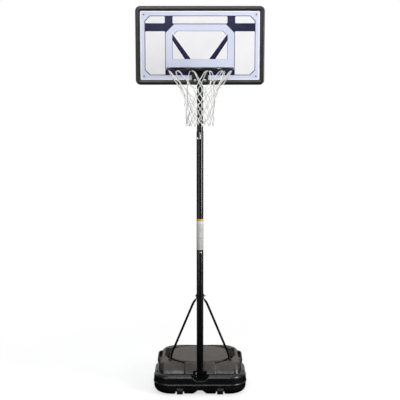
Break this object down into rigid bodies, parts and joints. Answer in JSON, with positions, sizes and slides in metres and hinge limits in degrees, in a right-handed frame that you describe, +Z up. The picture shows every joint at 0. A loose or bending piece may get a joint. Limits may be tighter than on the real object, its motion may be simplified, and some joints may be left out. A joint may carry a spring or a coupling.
{
  "type": "portable basketball hoop",
  "caption": "Portable basketball hoop: framed backboard with rim and net on a telescoping pole, braced by struts on a wheeled water-filled base.",
  "frame": {"origin": "middle of the bounding box on the ground, just ahead of the pole foot", "axes": "+X to the right seen from the court, +Y away from the court towards the back of the base, +Z up the pole; the rim faces -Y"},
  "size_m": [0.813, 1.0605, 2.568],
  "materials": {
    "tank_plastic": "matte",
    "water_fill": "gloss",
    "axle_steel": "satin",
    "black_tube": "gloss",
    "zinc_steel": "satin",
    "label_vinyl": "satin",
    "cap_plastic": "matte",
    "seal_rubber": "matte",
    "wheel_plastic": "matte",
    "frame_plastic": "satin",
    "panel_plastic": "gloss",
    "screw_black": "satin",
    "bracket_steel": "satin",
    "rim_steel": "satin",
    "net_cord": "matte"
  },
  "bodies": {
    "base": {"base_tank": "tank_plastic", "ballast_water": "water_fill", "axle_rod": "axle_steel", "axle_caps": "axle_steel", "lower_pole": "black_tube", "middle_pole": "black_tube", "joint_bolt": "zinc_steel", "joint_nut": "zinc_steel", "height_label": "label_vinyl", "strut_left": "black_tube", "strut_right": "black_tube", "strut_bolt": "zinc_steel", "strut_nut": "zinc_steel", "foot_screws": "zinc_steel", "clamp_boss": "zinc_steel"},
    "clamp": {"clamp_bolt": "zinc_steel"},
    "filler_cap": {"fill_cap": "cap_plastic", "cap_seal": "seal_rubber"},
    "left_wheel": {"wheel_left": "wheel_plastic"},
    "right_wheel": {"wheel_right": "wheel_plastic"},
    "top": {"upper_pole": "black_tube", "pole_plug": "cap_plastic", "board_frame": "frame_plastic", "board_panel": "panel_plastic", "corner_screws": "screw_black", "cross_bar": "bracket_steel", "cross_screws": "zinc_steel", "lower_bracket": "bracket_steel", "upper_bracket": "bracket_steel", "plate_bolts": "zinc_steel", "plate_nuts": "zinc_steel", "bracket_bolts": "zinc_steel", "bracket_nuts": "zinc_steel", "rim_plate": "rim_steel", "rim_support": "rim_steel", "rim_ring": "rim_steel", "rim_bolts": "zinc_steel", "rim_nuts": "zinc_steel", "net_hooks": "rim_steel", "net": "net_cord"}
  },
  "joints": [
    {"name": "height_slide", "type": "slide", "parent": "base", "child": "top", "axis": [0, 0, 1], "range_m": [-0.3, 0.1]},
    {"name": "clamp_turn", "type": "hinge", "parent": "base", "child": "clamp", "pos_m": [0, 0.00625, 1.762], "axis": [0, -1, 0], "range_deg": [0, 270]},
    {"name": "cap_turn", "type": "hinge", "parent": "base", "child": "filler_cap", "pos_m": [0, 0.43625, 0.2], "axis": [0, 0, 1], "range_deg": [0, 270]},
    {"name": "left_wheel_spin", "type": "hinge", "parent": "base", "child": "left_wheel", "pos_m": [-0.136, 0.03625, 0.0325], "axis": [1, 0, 0], "continuous": true},
    {"name": "right_wheel_spin", "type": "hinge", "parent": "base", "child": "right_wheel", "pos_m": [0.136, 0.03625, 0.0325], "axis": [1, 0, 0], "continuous": true}
  ]
}
